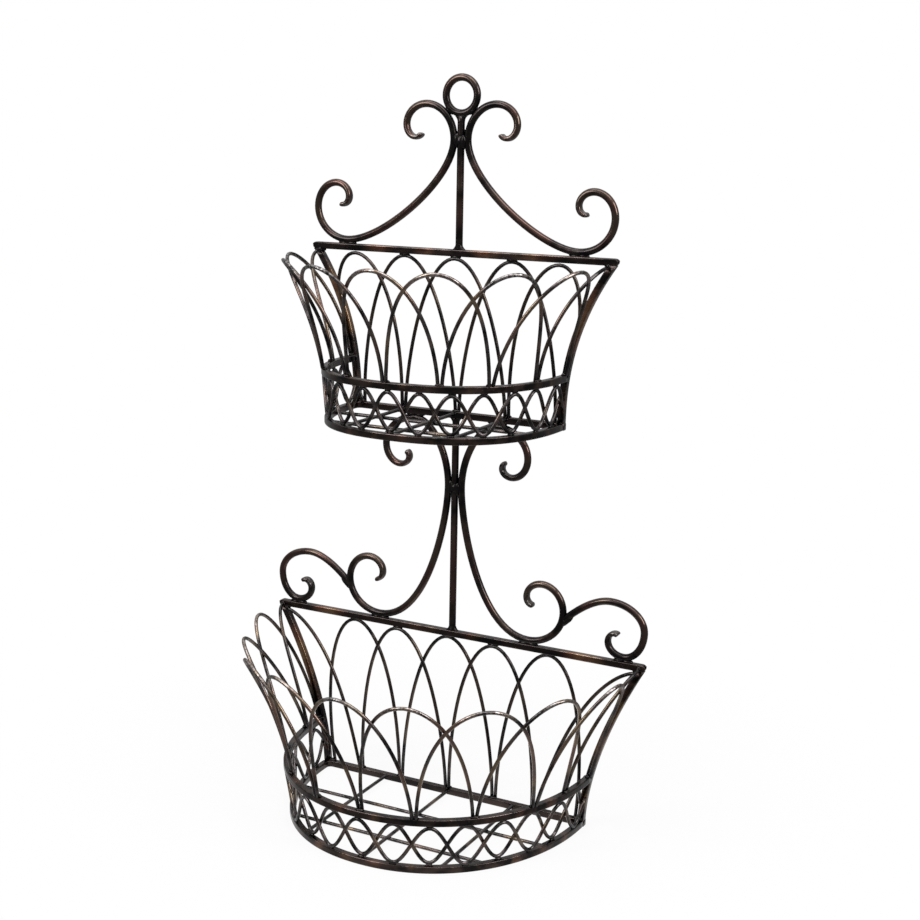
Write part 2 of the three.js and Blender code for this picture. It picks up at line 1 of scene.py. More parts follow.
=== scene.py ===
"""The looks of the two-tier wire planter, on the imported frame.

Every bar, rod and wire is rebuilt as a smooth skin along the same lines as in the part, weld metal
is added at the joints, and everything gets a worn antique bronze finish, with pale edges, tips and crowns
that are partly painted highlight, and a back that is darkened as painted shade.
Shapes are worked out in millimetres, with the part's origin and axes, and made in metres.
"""
import bisect
import math
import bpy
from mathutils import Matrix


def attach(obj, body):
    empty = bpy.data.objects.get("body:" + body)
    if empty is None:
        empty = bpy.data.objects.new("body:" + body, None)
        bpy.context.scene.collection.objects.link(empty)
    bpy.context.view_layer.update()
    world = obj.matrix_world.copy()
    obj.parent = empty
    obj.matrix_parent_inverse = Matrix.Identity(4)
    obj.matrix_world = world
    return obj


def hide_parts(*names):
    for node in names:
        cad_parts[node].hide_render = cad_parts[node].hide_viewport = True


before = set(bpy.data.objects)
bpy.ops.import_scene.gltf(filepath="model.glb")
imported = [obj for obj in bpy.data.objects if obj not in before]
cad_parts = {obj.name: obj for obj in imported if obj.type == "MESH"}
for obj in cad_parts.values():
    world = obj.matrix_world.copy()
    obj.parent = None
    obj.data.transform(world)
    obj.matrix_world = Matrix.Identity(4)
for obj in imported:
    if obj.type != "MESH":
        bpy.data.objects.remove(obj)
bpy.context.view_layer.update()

from types import SimpleNamespace

import bmesh
import bpy
from mathutils import Matrix, Vector, kdtree, noise

MM = 0.001
X = Vector((1, 0, 0))
Y = Vector((0, 1, 0))
Z = Vector((0, 0, 1))
SIDES = (("left", -1), ("right", 1))

# Stock, as in the part
BAR = 6.0
ROD = 6.3
WIRE = 3.2
SEAT = 0.3
BAR_HALF = BAR / 2
LAYER = (WIRE + SEAT) / 2
WALL_START = BAR_HALF + SEAT
ROD_PITCH = ROD + SEAT

# The two baskets. Front feet and crowns are shares of the mid band, back ones are x from the middle.
LOWER = dict(
    rail_rise=152.5, band_rise=43.5, base_half=132, top_half=183, base_depth=158, top_depth=190,
    flare=1.7, fullness=2.1,
    front_feet=(0, 0.062, 0.17, 0.29, 0.408, 0.503, 0.605, 0.711, 0.826, 0.915, 1),
    front_crowns=(0, 0.072, 0.2, 0.3, 0.38, 0.494, 0.587, 0.698, 0.812, 0.919, 1),
    front_crown_rise=151.5, back_feet=(-93.5, -52.5, -1.5, 44.5, 86),
    back_crowns=(-102.5, -56, -5, 42, 94.5), back_end_crowns=None, back_reach=50, half_waves=15.1,
)
UPPER = dict(
    rail_rise=140.5, band_rise=42, base_half=100.5, top_half=144, base_depth=116, top_depth=152,
    flare=2.3, fullness=2.4,
    front_feet=(0, 0.125, 0.25, 0.373, 0.493, 0.624, 0.739, 0.876, 1),
    front_crowns=(0, 0.105, 0.25, 0.386, 0.497, 0.614, 0.75, 0.882, 1),
    front_crown_rise=136, back_feet=(-51.5, 0, 50),
    back_crowns=(-54, -3, 50), back_end_crowns=(-102.5, 95), back_reach=49.5, half_waves=13.2,
)
TIER_RISE = 200
CORNER_BEND = 6.5
HOOP_POWER = 4 / 3
HALF_HOOP_POWER = 1
FLOOR_LONG_WIRES = (0.36, 0.7)
FLOOR_CROSS_WIRES = (-0.5, 0, 0.5)
FLOOR_BITE = 0.8

# Scrolls; a curl is (start radius, end radius, turn in degrees, ease)
CREST = SimpleNamespace(
    contact=111.5, waist_rise=95, sweep_at_waist=0.39, sweep_at_rail=0.33,
    head_curl=(33.5, 4.4, 340, 1.5), foot_curl=(34.5, 4.2, 386, 1.5),
)
RING_RADIUS = 14.7
RING_REACH = RING_RADIUS + ROD_PITCH
MIDDLE = SimpleNamespace(
    contact=75.5, waist_rise=135.5, top_contact=40.5, sweep_at_waist=0.24, sweep_at_rail=0.72,
    sweep_at_top=0.5, head_curl=(35, 4.6, 335, 1.9), foot_curl=(36, 4.4, 365, 1.3),
)
SHOULDER = SimpleNamespace(
    contact=165, outer_reach=18, outer_rise=24, crown_reach=31.2, crown_rise=23.5,
    tail_level=0.42, tail_drop=6.5, curl=(18, 4.2, 222, 1.8),
)

# Edges and ends of the stock
BITE = 0.2  # how far an end runs into what it is welded to
POST_FRONT = -BAR_HALF + BITE  # y at which a piece of the front wall ends in a post
BAR_EDGE = 0.95  # radius of a bar's edges
EDGE_MARGIN = 0.5  # how far beside an edge the flat face starts
RAIL_END = ((0, 0.55), (0.25, 0.78), (0.8, 0.93), (1.8, 1.0))  # inset from the end, size of the section
RAIL_TIP = 2.4  # how far the upper corner of a rail's end is rounded back
RAIL_PLAIN = 8  # inset from which a rail is plain
# A forged tip's length, section and snub; its tip is paled over the given length from the free end, as wear
# and as a painted highlight.
FORGED = SimpleNamespace(
    length=30, thickness=4.2, width=8.6, squareness=3.2, wear_and_highlight=24,
    snub_start=0.3, snub_length=1.6, snub_wide=0.6,
)
WELDED_END = 0.88  # size of a rod's end where it goes into its weld
WELDED_TAPER = 3.5
CLOSE_SHARES = (0.0, 0.12, 0.3, 0.6)  # of the first step, where a rod's free end is rounded off
CROWN_WEAR_AND_HIGHLIGHT = 14  # how far down a front hoop's crown is paled, as wear and as a painted highlight

# Fineness of the skins
WIRE_SIDES = 12
ROD_SIDES = 18
HOOP_STEPS = 44
LATTICE_STEPS = 12
OVAL_STEPS = 120
BEND_STEPS = 10
EDGE_STEPS = 4
RAIL_STEPS = 40
POST_STEPS = 22
STEM_STEPS = 30
FLOOR_LONG_STEPS = 30
FLOOR_CROSS_STEPS = 20
SWEEP_STEPS = 26
QUARTER_STEPS = 16
RING_STEPS = 56
CURL_STEP = 6
CURL_FINE = 4
ARC_SAMPLES = 300
BEAD_ROUND = 14
BEAD_RISE = 8
COLLAR_ROUND = 20
COLLAR_STEPS = 7


def bead_kind(*half, aside=0.0, off=0.0, rise=0.0):
    """Half sizes of a bead along, across and up, and how far its middle is from what it is welded to."""
    return SimpleNamespace(half=half, aside=aside, off=off, rise=rise)


# Weld metal; its unevenness is a share of its size, and how fast that changes by place and by turn
BEAD_LUMPS = SimpleNamespace(share=0.22, by_place=0.37, by_turn=1.9)
COLLAR_LUMPS = SimpleNamespace(share=0.07, by_place=0.3, by_turn=1.6)
POST_TOP_BEAD = bead_kind(3.2, 2.5, 1.7, aside=4.2, off=0.6)
POST_FOOT_BEAD = bead_kind(2.6, 2.4, 1.6, aside=3.4, off=0.5)
BAND_END_BEAD = bead_kind(2.7, 1.3, 1.3, aside=2.9, off=0.6)
RING_JOINT_BEAD = bead_kind(2.4, 1.4, 1.4, aside=2.8, off=0.4, rise=0.6)
HALF_HOOP_BEAD = bead_kind(2.6, 2.2, 1.3, off=0.7, rise=0.4)
FRONT_FOOT_BEAD = bead_kind(3.9, 2.3, 1.6, rise=0.3)
FRONT_FOOT_END = 0.004  # the least share of the mid band between a front foot's bead and the post
BACK_CROWN_BEAD = bead_kind(5.2, 2.2, 1.8, off=0.6)
BACK_END_BEAD = bead_kind(2.8, 2.0, 1.8)
BACK_FOOT_BEAD = bead_kind(3.8, 2.6, 1.6, rise=0.3)
LATTICE_BEAD = bead_kind(3.0, 1.7, 1.2, off=0.3)
LATTICE_BEAD_SHARE = 0.6  # of the way from the wall to the wire's layer
FLOOR_TIP_BEAD = bead_kind(2.3, 1.5, 1.4, off=0.6, rise=0.4)
FLOOR_END_BEAD = bead_kind(2.3, 1.5, 1.4, off=0.5)
FLOOR_CROSS_BEAD = bead_kind(2.1, 2.1, 1.3)
WAIST_BACK_BEAD = bead_kind(8.5, 2.1, 1.4, off=1.8)
WAIST_FRONT_BEAD = bead_kind(5.8, 2.6, 1.8, off=2.3)
WAIST_LUMP = bead_kind(3.4, 1.5, 3.8, aside=0.3, off=2.6, rise=-0.9)
WAIST_DROPS = ((-1, 0.3), (1, 1.5))  # side, and how far its front bead is below the waist
WAIST_DARK = 6  # how far above and below the waist the finish is darkest
CONTACT_BEAD = bead_kind(5.3, 2.7, 1.7, aside=3.9, off=0.5)
RING_BEAD = bead_kind(4.6, 1.7, 2.3)
RING_BEAD_SHARE = RING_RADIUS / RING_REACH + 0.11  # of the way from the ring's middle to the scroll
TAIL_BEAD = bead_kind(8.0, 2.9, 2.8, aside=3.3, rise=0.4)
TAIL_SLOPE = (0.73, 0.68)
COLLAR_NECK = ROD / 2 - 0.05
COLLAR_POWER = 2.2
STEM_FOOT_COLLAR = SimpleNamespace(foot=6.2, height=5.0, depth=3.3, sunk=0.1)
UNDER_BASE_COLLAR = SimpleNamespace(foot=6.0, height=4.5, depth=3.3, sunk=0.1)
UNDER_RING_COLLAR = SimpleNamespace(foot=5.8, height=5.5, depth=2.9, sunk=0.9)

# Scales of the finish's noise, and the y in metres over which the finish darkens from the front to the back
# as painted shade
PATCH_SCALE = 24
TINT_SCALE = 33
BLOTCH_SCALE = 95
FINE_SCALE = 420
SPECK_SCALE = 900
GRAIN_SCALE = 1700
BACK_SHADE_FROM = -0.07
BACK_SHADE_TO = -0.01
RAGGED = 22  # by how many millimetres the dark round a weld comes and goes
WELD_DISTANCE = 4.0  # how far weld metal counts as being from a weld

# The studio, in metres and watts. ROOM_GLOSS is how bright the room beyond the white table is for gloss.
ROOM_GLOSS = 0.28
TABLE_FADE = 0.3
SHADOW_FADE = (0.12, 0.5)
SHADOW_WHITE = 0.92  # the share of plain white that the camera sees in the floor at the object
SKY_FADE = (0.1, 0.8)
SKY_LIGHT = 0.2
FLOOR_HALF = 2.0
PLANTER_MIDDLE = (0, -0.09, 0.35)
LAMPS = {  # place, target, width, height, power
    "top": ((0.2, -0.45, 2.05), (0.2, -0.44, 0), 2.0, 0.7, 20),
    "left": ((-0.95, -1.55, 1.3), PLANTER_MIDDLE, 0.7, 1.0, 16),
    "right": ((1.75, -0.3, 1.3), PLANTER_MIDDLE, 0.7, 1.0, 19),
}

# The camera of the photograph, fitted to the frame's straight bars and ovals
CAMERA_PLACE = (0.6118, -1.1693, 0.5992)
CAMERA_YAW = 27.44
CAMERA_PITCH = 12.15
CAMERA_ROLL = 1.05
CAMERA_SENSOR = 36
CAMERA_CLIP = (0.01, 50)
FOCAL_PIXELS = 1534.14
PHOTO_PIXELS = 920


def lerp(a, b, share):
    return a + (b - a) * share


def smooth(share):
    share = min(1.0, max(0.0, share))
    return share * share * (3 - 2 * share)


def shares(count):
    return [i / count for i in range(count + 1)]


def running_lengths(places):
    lengths = [0.0]
    for before, after in zip(places, places[1:]):
        lengths.append(lengths[-1] + (after - before).length)
    return lengths


# Lines of the baskets


def settle(name, base_z, sizes):
    """A basket with its heights and the lengths along its mid band."""
    b = SimpleNamespace(name=name, base_z=base_z, **sizes)
    b.band_z = base_z + b.band_rise
    b.rail_z = base_z + b.rail_rise
    b.base_top = base_z + BAR_HALF
    b.band_top = b.band_z + BAR_HALF
    b.rail_under = b.rail_z - BAR_HALF
    b.rail_top = b.rail_z + BAR_HALF
    b.front_crown_z = base_z + b.front_crown_rise
    b.back_crown_z = b.rail_under - SEAT - WIRE / 2
    b.angles = [math.pi * t for t in shares(ARC_SAMPLES)]
    b.lengths = running_lengths([plan_point(b, angle, b.band_z) for angle in b.angles])
    return b


def spread(b, z):
    return max(0.0, (z - b.base_z) / b.rail_rise) ** b.flare


def post_x(b, z):
    return lerp(b.base_half, b.top_half, spread(b, z))


def lean_at(b, z):
    """How far the post runs out over the millimetre of height round z."""
    return post_x(b, z + 0.5) - post_x(b, z - 0.5)


def plan_point(b, angle, z):
    depth = lerp(b.base_depth, b.top_depth, spread(b, z)) - WALL_START
    power = 2 / b.fullness
    across = math.cos(angle)
    x = -post_x(b, z) * math.copysign(abs(across) ** power, across)
    return Vector((x, -WALL_START - depth * abs(math.sin(angle)) ** power, z))


def angle_at(b, u):
    """The angle at a share of the mid band's length."""
    wanted = min(1.0, max(0.0, u)) * b.lengths[-1]
    after = min(max(1, bisect.bisect_left(b.lengths, wanted)), ARC_SAMPLES)
    share = (wanted - b.lengths[after - 1]) / (b.lengths[after] - b.lengths[after - 1])
    return lerp(b.angles[after - 1], b.angles[after], share)


def outwards_at(b, u, z):
    angle = angle_at(b, u)
    nudge = math.pi / ARC_SAMPLES
    before = plan_point(b, max(0.0, angle - nudge), z)
    after = plan_point(b, min(math.pi, angle + nudge), z)
    along = (after - before).normalized()
    return Vector((along.y, -along.x, 0))


def wall_point(b, u, z, offset):
    """A point of the front wall, moved out level until the offset lies between it and the wall."""
    angle = angle_at(b, u)
    outwards = outwards_at(b, u, z)
    rise = plan_point(b, angle, z + LAYER) - plan_point(b, angle, z - LAYER)
    lean = rise.dot(outwards) / rise.z
    return plan_point(b, angle, z) + outwards * offset * math.hypot(1, lean)


def layer_of(index):
    return LAYER if index % 2 else -LAYER


def hoop_points(start, stop, power, place):
    points = []
    for t in shares(HOOP_STEPS):
        angle = math.pi * lerp(start, stop, t)
        points.append(place(-math.cos(angle), max(0.0, math.sin(angle)) ** power))
    return points


def front_hoop(b, index, start, stop, power):
    """A hoop on the feet before and after its own; a half hoop's missing foot mirrors the one it has."""
    feet = (-b.front_feet[1], *b.front_feet, 2 - b.front_feet[-2])
    gap = LAYER / b.lengths[-1]
    left = feet[index] + gap
    right = feet[index + 2] - gap

    def place(across, rise):
        low = lerp(left, right, (1 + across) / 2)
        high = b.front_crowns[index] + across * (right - left) / 2
        z = lerp(b.band_top, b.front_crown_z, rise)
        return wall_point(b, lerp(low, high, rise), z, layer_of(index))

    return hoop_points(start, stop, power, place)


def back_foot_x(b, index):
    beside_post = b.base_half - BAR_HALF - SEAT - WIRE / 2
    feet = (-beside_post, *b.back_feet, beside_post)
    return feet[min(max(index, 0), len(feet) - 1)]


def back_hoop(b, index, crown_x, start, stop, power):
    left = back_foot_x(b, index - 1) + LAYER
    right = back_foot_x(b, index + 1) - LAYER

    def place(across, rise):
        low = lerp(left, right, (1 + across) / 2)
        high = crown_x + across * b.back_reach
        z = lerp(b.base_top, b.back_crown_z, rise)
        return Vector((lerp(low, high, rise), layer_of(index), z))

    return hoop_points(start, stop, power, place)


def base_ring_points(b):
    """From the welded corner along the back, round the bent corner and round the front oval."""
    bend_share = (CORNER_BEND - WALL_START) / (b.base_depth - WALL_START)
    bend_angle = math.asin(bend_share ** (b.fullness / 2))
    points = [Vector((b.base_half + BAR_HALF, 0, b.base_z))]
    for t in shares(BEND_STEPS):
        angle = math.pi / 2 * (1 + t)
        x = CORNER_BEND - b.base_half + CORNER_BEND * math.cos(angle)
        points.append(Vector((x, CORNER_BEND * (math.sin(angle) - 1), b.base_z)))
    for t in shares(OVAL_STEPS)[1:]:
        points.append(plan_point(b, lerp(bend_angle, math.pi, t), b.base_z))
    return points


# Lines of the scrolls, in the back plane


def flat(x, z):
    return Vector((x, 0, z))


def curl_points(start, heading, side, curl):
    first, last, degrees, ease = curl
    turn = math.radians(degrees)
    count = round(degrees / CURL_STEP) * CURL_FINE
    here = start.copy()
    points = [here.copy()]
    for i in range(count):
        done = (i + 0.5) / count
        radius = last + (first - last) * (1 - done) ** ease
        angle = heading + side * done * turn
        here += flat(math.cos(angle), math.sin(angle)) * radius * turn / count
        if (i + 1) % CURL_FINE == 0:
            points.append(here.copy())
    return points


def bezier_points(*controls):
    points = []
    for t in shares(SWEEP_STEPS):
        row = list(controls)
        while len(row) > 1:
            row = [a.lerp(b, t) for a, b in zip(row, row[1:])]
        points.append(row[0])
    return points


def sweep_points(start, end, upright, level):
    """A sweep that leaves upright and arrives level."""
    leave = flat(start.x, lerp(start.z, end.z, upright))
    arrive = flat(lerp(end.x, start.x, level), end.z)
    return bezier_points(start, leave, arrive, end)


def quarter_points(centre, reach, rise, start):
    turns = [start + math.pi / 2 * t for t in shares(QUARTER_STEPS)]
    return [centre + flat(reach * math.cos(a), rise * math.sin(a)) for a in turns]


def crest_scroll(upper):
    waist = flat(ROD_PITCH, upper.rail_z + CREST.waist_rise)
    contact = flat(CREST.contact, upper.rail_top + SEAT + ROD / 2)
    head = curl_points(waist, math.pi / 2, -1, CREST.head_curl)[::-1]
    body = sweep_points(waist, contact, CREST.sweep_at_waist, CREST.sweep_at_rail)
    foot = curl_points(contact, 0, 1, CREST.foot_curl)
    return head + body[1:] + foot[1:]


def middle_scroll(lower, upper):
    waist = flat(ROD_PITCH, lower.rail_z + MIDDLE.waist_rise)
    contact = flat(MIDDLE.contact, lower.rail_top + SEAT + ROD / 2)
    top = flat(MIDDLE.top_contact, upper.base_z - BAR_HALF - SEAT - ROD / 2)
    head = curl_points(top, 0, -1, MIDDLE.head_curl)[::-1]
    neck = sweep_points(waist, top, MIDDLE.sweep_at_top, MIDDLE.sweep_at_top)[::-1]
    body = sweep_points(waist, contact, MIDDLE.sweep_at_waist, MIDDLE.sweep_at_rail)
    foot = curl_points(contact, 0, 1, MIDDLE.foot_curl)
    return head + neck[1:] + body[1:] + foot[1:]


def shoulder_scroll(lower, rest):
    contact = flat(SHOULDER.contact, lower.rail_top + SEAT + ROD / 2)
    centre = contact + flat(0, SHOULDER.outer_rise)
    outer = quarter_points(centre, SHOULDER.outer_reach, SHOULDER.outer_rise, -math.pi / 2)
    crown_centre = centre + flat(SHOULDER.outer_reach - SHOULDER.crown_reach, 0)
    over = quarter_points(crown_centre, SHOULDER.crown_reach, SHOULDER.crown_rise, 0)
    top = over[-1]
    level = flat(lerp(top.x, rest.x, SHOULDER.tail_level), top.z)
    tail = bezier_points(top, level, rest)
    curl = curl_points(contact, math.pi, -1, SHOULDER.curl)[::-1]
    return curl + outer[1:] + over[1:] + tail[1:]


def mirrored(points, side):
    return [Vector((side * p.x, p.y, p.z)) for p in points]


# Skins


def round_section(sides, across, up, power=2.0):
    """Corners of a round, or of a flattened one with fuller corners where power is above 2."""
    corners = []
    for i in range(sides):
        angle = 2 * math.pi * i / sides
        c, s = math.cos(angle), math.sin(angle)
        x = math.copysign(abs(c) ** (2 / power), c)
        y = math.copysign(abs(s) ** (2 / power), s)
        corners.append((across * x, up * y))
    return corners


def bar_section():
    """Corners of a square bar with rounded edges, and how near each is to the middle of an edge."""
    flat_half = BAR_HALF - BAR_EDGE
    corners = []
    edges = []
    for quarter in range(4):
        turn = math.pi / 2 * quarter
        c, s = round(math.cos(turn)), round(math.sin(turn))
        arc = [(BAR_HALF, flat_half - EDGE_MARGIN, 0.0)]
        for t in shares(EDGE_STEPS):
            angle = math.pi / 2 * t
            x = flat_half + BAR_EDGE * math.cos(angle)
            y = flat_half + BAR_EDGE * math.sin(angle)
            arc.append((x, y, 1.0 - abs(t - 0.5)))
        arc.append((flat_half - EDGE_MARGIN, BAR_HALF, 0.0))
        for x, y, edge in arc:
            corners.append((c * x - s * y, s * x + c * y))
            edges.append(edge)
    return corners, edges


BAR_SECTION, BAR_EDGES = bar_section()
ROD_SECTION = round_section(ROD_SIDES, ROD / 2, ROD / 2)
WIRE_SECTION = round_section(WIRE_SIDES, WIRE / 2, WIRE / 2)


def tangents_of(points):
    tangents = []
    for i, here in enumerate(points):
        total = Vector()
        if i > 0:
            total += (here - points[i - 1]).normalized()
        if i < len(points) - 1:
            total += (points[i + 1] - here).normalized()
        tangents.append(total.normalized())
    return tangents


def axes_along(points, fixed=None):
    """Two cross axes at each point: the second is the fixed direction, or is carried along."""
    axes = []
    carried = None
    for tangent in tangents_of(points):
        if fixed is not None:
            carried = fixed
        elif carried is None:
            carried = tangent.orthogonal()
        first = carried.cross(tangent).normalized()
        carried = tangent.cross(first).normalized()
        axes.append((first, carried))
    return axes


def skin(rings, closed=False, edges=None):
    """Corners, faces and edge values of a closed skin over rings of equally many corners."""
    sides = len(rings[0])
    corners = [corner for ring in rings for corner in ring]
    faces = []
    for r in range(len(rings) if closed else len(rings) - 1):
        a = r * sides
        b = (r + 1) % len(rings) * sides
        for i in range(sides):
            j = (i + 1) % sides
            faces.append((a + i, a + j, b + j, b + i))
    if not closed:
        faces.append(tuple(reversed(range(sides))))
        faces.append(tuple(range(len(corners) - sides, len(corners))))
    values = list(edges) * len(rings) if edges else [0.0] * len(corners)
    return corners, faces, values


def tube(points, section, fixed=None, edges=None):
    """A skin along points; section is a list of corners, or gives it for a place along them."""
    lengths = running_lengths(points)
    rings = []
    for here, (first, second), length in zip(points, axes_along(points, fixed), lengths):
        shape = section(length, lengths[-1]) if callable(section) else section
        rings.append([here + first * x + second * y for x, y in shape])
    return skin(rings, edges=edges)


def bar(points):
    """A bent bar that lies level."""
    return tube(points, BAR_SECTION, fixed=Z, edges=BAR_EDGES)


def wire(points):
    return tube(points, WIRE_SECTION)


def hoop_with_pale_crown(points):
    """A wire hoop whose crown is paled towards its top, as wear and as a painted highlight."""
    corners, faces, _ = wire(points)
    top = max(p.z for p in points)
    values = []
    # Paler towards the top of the crown: wear and painted highlight.
    for p in points:
        values += [1 - smooth((top - p.z) / CROWN_WEAR_AND_HIGHLIGHT)] * WIRE_SIDES
    return corners, faces, values


def forged_rod(points, both_ends):
    """A rod whose free ends are hammered thin in the plane of the scroll and wide across it, and paled as
    wear and as a painted highlight.

    Without both ends, the last one is welded on and narrows into its weld.
    """
    points = with_close_ends(points, both_ends)

    def to_free_end(length, total):
        return min(length, total - length) if both_ends else length

    def section(length, total):
        to_end = to_free_end(length, total)
        forged = 1 - smooth(to_end / FORGED.length)
        rounded = min(1.0, FORGED.snub_start + to_end / FORGED.snub_length)
        snub = math.sqrt(1 - (1 - rounded) ** 2)
        taper = lerp(WELDED_END, 1.0, smooth((total - length) / WELDED_TAPER))
        seat = 1.0 if both_ends else taper
        thick = lerp(ROD, FORGED.thickness, forged) / 2 * snub * seat
        wide = lerp(ROD, FORGED.width, forged) / 2 * lerp(1.0, snub, FORGED.snub_wide) * seat
        return round_section(ROD_SIDES, thick, wide, lerp(2.0, FORGED.squareness, forged))

    corners, faces, _ = tube(points, section, fixed=Y)
    lengths = running_lengths(points)
    values = []
    # Paler towards a free end: wear and painted highlight.
    for length in lengths:
        wear_and_highlight = 1 - smooth(to_free_end(length, lengths[-1]) / FORGED.wear_and_highlight)
        values += [wear_and_highlight] * ROD_SIDES
    return corners, faces, values


def with_close_ends(points, both_ends):
    """More points close to the free ends, where the section is rounded off."""
    def crowd(row):
        return [row[0].lerp(row[1], t) for t in CLOSE_SHARES] + row[1:]

    crowded = crowd(points)
    return crowd(crowded[::-1])[::-1] if both_ends else crowded


# Pieces. Each corner has two values: how far the nearest weld is, and how pale it is by its place on
# a bar's edge, a forged tip or a hoop's crown, which stands for wear and for a painted highlight.

welds = []
pieces = []


def add_piece(name, parts, finish, node=None):
    pieces.append(SimpleNamespace(name=name, parts=parts, finish=finish, node=node))


def add_bar(node, part):
    add_piece(f"{node}_bar", [part], "bar_finish", node)


def add_rod(node, part):
    add_piece(f"{node}_rod", [part], "rod_finish", node)


def add_wires(node, parts):
    add_piece(f"{node}_wire", parts, "wire_finish", node)


def lump(lumps, place, towards):
    return 1 + lumps.share * noise.noise(place * lumps.by_place + towards * lumps.by_turn)


def bead(place, along, up, kind):
    """A lump of weld metal, a little uneven."""
    across = up.cross(along).normalized()
    long, wide, high = kind.half
    rings = []
    for j in range(1, BEAD_RISE):
        tilt = math.pi * j / BEAD_RISE
        ring = []
        for i in range(BEAD_ROUND):
            turn = 2 * math.pi * i / BEAD_ROUND
            u = math.sin(tilt) * math.cos(turn)
            v = math.sin(tilt) * math.sin(turn)
            w = math.cos(tilt)
            size = lump(BEAD_LUMPS, place, Vector((u, v, w)))
            ring.append(place + (along * w * long + across * u * wide + up * v * high) * size)
        rings.append(ring)
    welds.append(place)
    return skin(rings)


def collar(face_z, up, kind):
    """Weld metal drawn up from a face round a stem's end: foot is a radius, depth the foot's half depth."""
    place = flat(0, face_z - up.z * kind.sunk)
    across = up.cross(Y).normalized()
    rings = []
    for t in shares(COLLAR_STEPS):
        radius = COLLAR_NECK + (kind.foot - COLLAR_NECK) * (1 - t) ** COLLAR_POWER
        depth = min(radius, lerp(kind.depth, COLLAR_NECK, t))
        ring = []
        for i in range(COLLAR_ROUND):
            turn = 2 * math.pi * i / COLLAR_ROUND
            size = lump(COLLAR_LUMPS, place, Vector((math.cos(turn), math.sin(turn), t)))
            x = radius * math.cos(turn) * size
            y = depth * math.sin(turn) * size
            ring.append(place + across * x + Y * y + up * kind.height * t)
        rings.append(ring)
    welds.append(place)
    return skin(rings)


# Building the baskets


def add_rail(b):
    """The rail's ends lean with the posts below and are rounded back above."""
    lean = lean_at(b, b.rail_z)
    end = b.top_half + BAR_HALF * math.hypot(1, lean)
    plain = end - RAIL_PLAIN

    def ring(side, inset, size):
        corners = []
        for y, z in BAR_SECTION:
            above = max(0.0, z / BAR_HALF)
            x = end - inset + lean * min(0.0, z) - RAIL_TIP * above**2
            corners.append(Vector((side * x, y * size, b.rail_z + z * size)))
        return corners

    rings = [ring(-1, *step) for step in RAIL_END]
    for t in shares(RAIL_STEPS)[1:-1]:
        rings.append([Vector((lerp(-plain, plain, t), y, b.rail_z + z)) for y, z in BAR_SECTION])
    rings += [ring(1, *step) for step in reversed(RAIL_END)]
    add_bar(f"{b.name}_top_rail", skin(rings, edges=BAR_EDGES))


def add_posts(b, beads):
    for side_name, side in SIDES:
        rings = []
        for t in shares(POST_STEPS):
            z = lerp(b.base_top - BITE, b.rail_under + BITE, t)
            stretch = math.hypot(1, lean_at(b, z))
            x = side * post_x(b, z)
            rings.append([Vector((x + u * stretch, v, z)) for u, v in BAR_SECTION])
        add_bar(f"{b.name}_post_{side_name}", skin(rings, edges=BAR_EDGES))
        top_x = post_x(b, b.rail_under) - POST_TOP_BEAD.aside
        top = Vector((side * top_x, 0, b.rail_under - POST_TOP_BEAD.off))
        beads.append(bead(top, X, Z, POST_TOP_BEAD))
        foot_x = b.base_half - POST_FOOT_BEAD.aside
        foot = Vector((side * foot_x, 0, b.base_top + POST_FOOT_BEAD.off))
        beads.append(bead(foot, X, Z, POST_FOOT_BEAD))


def add_rings(b, beads):
    add_bar(f"{b.name}_base_ring", bar(base_ring_points(b)))
    band = [wall_point(b, t, b.band_z, 0) for t in shares(OVAL_STEPS)]
    band[0].y = band[-1].y = POST_FRONT
    add_bar(f"{b.name}_mid_band", bar(band))
    for end in (band[0], band[-1]):
        x = end.x - math.copysign(BAND_END_BEAD.aside, end.x)
        inner = Vector((x, -BAR_HALF - BAND_END_BEAD.off, b.band_z))
        beads.append(bead(inner, Z, X, BAND_END_BEAD))
    kind = RING_JOINT_BEAD
    joint = Vector((b.base_half - kind.aside, -WALL_START - kind.off, b.base_z + kind.rise))
    beads.append(bead(joint, Z, X, kind))


def add_front_hoops(b, beads):
    last = len(b.front_crowns) - 1
    for index in range(1, last):
        points = front_hoop(b, index, 0, 1, HOOP_POWER)
        add_wires(f"{b.name}_front_hoop_{index}", [hoop_with_pale_crown(points)])
    left = front_hoop(b, 0, 0.5, 1, HALF_HOOP_POWER)
    right = front_hoop(b, last, 0, 0.5, HALF_HOOP_POWER)
    left[0].y = right[-1].y = POST_FRONT
    add_wires(f"{b.name}_front_half_hoop_left", [wire(left)])
    add_wires(f"{b.name}_front_half_hoop_right", [wire(right)])
    for top in (left[0], right[-1]):
        place = top + Vector((0, -HALF_HOOP_BEAD.off, HALF_HOOP_BEAD.rise))
        beads.append(bead(place, Z, Y, HALF_HOOP_BEAD))
    for foot in b.front_feet:
        u = min(1 - FRONT_FOOT_END, max(FRONT_FOOT_END, foot))
        outwards = outwards_at(b, u, b.band_z)
        place = wall_point(b, u, b.band_top + FRONT_FOOT_BEAD.rise, 0)
        beads.append(bead(place, Z.cross(outwards), Z, FRONT_FOOT_BEAD))


def inside_posts(points, b):
    """The stretch of a back wire that lies between the posts, run a little way into them."""
    return [p for p in points if abs(p.x) < post_x(b, p.z) - BAR_HALF + 2 * BITE]


